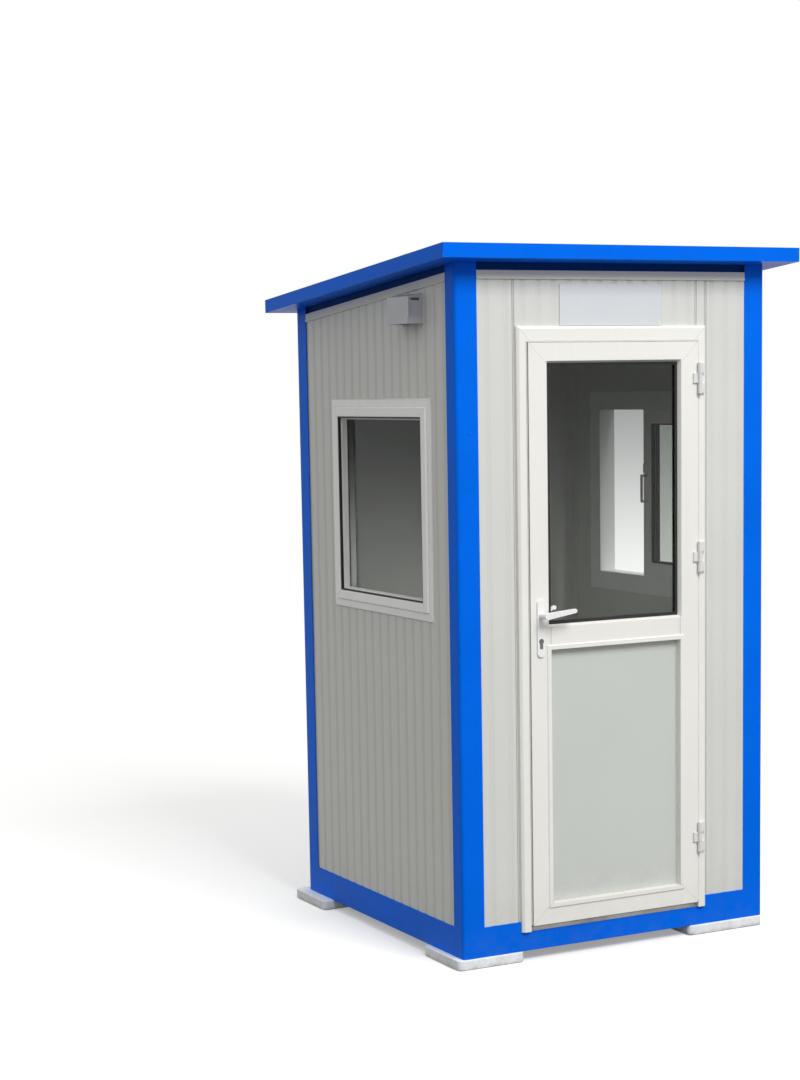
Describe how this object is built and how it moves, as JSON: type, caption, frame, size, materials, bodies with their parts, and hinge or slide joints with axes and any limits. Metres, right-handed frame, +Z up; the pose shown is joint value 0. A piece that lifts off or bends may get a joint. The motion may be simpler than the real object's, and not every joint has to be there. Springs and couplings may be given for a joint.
{
  "type": "security guard booth",
  "caption": "Prefabricated guard booth of sandwich panels on a blue base frame, with a glazed outward-opening door, side windows and a single-pitch roof.",
  "frame": {"origin": "on the ground under the middle of the booth's outline, at the underside of the support slabs", "axes": "+Z up; the door faces -Y; the window wall with the vent hood faces -X; the roof falls towards +Y"},
  "size_m": [1.37, 1.37, 2.3467],
  "materials": {
    "blue_sheet": "satin blue paint",
    "panel_sheet": "satin grey-white coil coating",
    "trim_sheet": "satin grey-white paint",
    "floor_board": "dark sheeted board",
    "white_profile": "smooth white plastic profile",
    "infill_panel": "smooth pale grey sheet",
    "clear_glass": "slightly grey float glass",
    "sill_metal": "worn dark plate",
    "white_fitting": "white powder coat",
    "lock_metal": "dull nickel",
    "hood_plastic": "weathered white plastic",
    "sign_blank": "plain white plate, bare",
    "slab_stone": "pale cut slab"
  },
  "bodies": {
    "booth": {"support_pads": "slab_stone", "base_front": "blue_sheet", "base_back": "blue_sheet", "base_left": "blue_sheet", "base_right": "blue_sheet", "floor_panel": "floor_board", "post_front_left": "blue_sheet", "post_front_right": "blue_sheet", "post_back_left": "blue_sheet", "post_back_right": "blue_sheet", "front_wall_left": "panel_sheet", "front_wall_right": "panel_sheet", "front_wall_header": "panel_sheet", "left_wall": "panel_sheet", "right_wall": "panel_sheet", "back_wall": "panel_sheet", "wall_top_trim": "trim_sheet", "inside_corner_angles": "trim_sheet", "roof_rails": "blue_sheet", "roof_panel": "panel_sheet", "roof_edge_front": "blue_sheet", "roof_edge_back": "blue_sheet", "roof_edge_left": "blue_sheet", "roof_edge_right": "blue_sheet", "door_frame": "white_profile", "door_threshold": "sill_metal", "hinge_frame_halves": "white_fitting", "left_window_frame": "white_profile", "left_window_sash": "white_profile", "left_window_glass": "clear_glass", "right_window_frame": "white_profile", "right_fixed_sash": "white_profile", "right_sliding_sash": "white_profile", "right_window_glass": "clear_glass", "window_pull": "white_fitting", "vent_hood": "hood_plastic", "sign_plate": "sign_blank"},
    "door": {"door_leaf": "white_profile", "door_glass": "clear_glass", "door_lower_panel": "infill_panel", "hinge_leaf_halves": "white_fitting", "lock_plates": "white_fitting", "key_cylinder": "lock_metal"},
    "lever": {"lever_handle": "white_fitting"}
  },
  "joints": [
    {"name": "door_swing", "type": "hinge", "parent": "booth", "child": "door", "pos_m": [0.3205, -0.625, 1.1], "axis": [0, 0, 1], "range_deg": [0, 100]},
    {"name": "lever_turn", "type": "hinge", "parent": "door", "child": "lever", "pos_m": [-0.306, -0.5945, 1.155], "axis": [0, 1, 0], "range_deg": [0, 40], "stiffness_Nm_per_rad": 1, "springref_deg": -14.32}
  ]
}
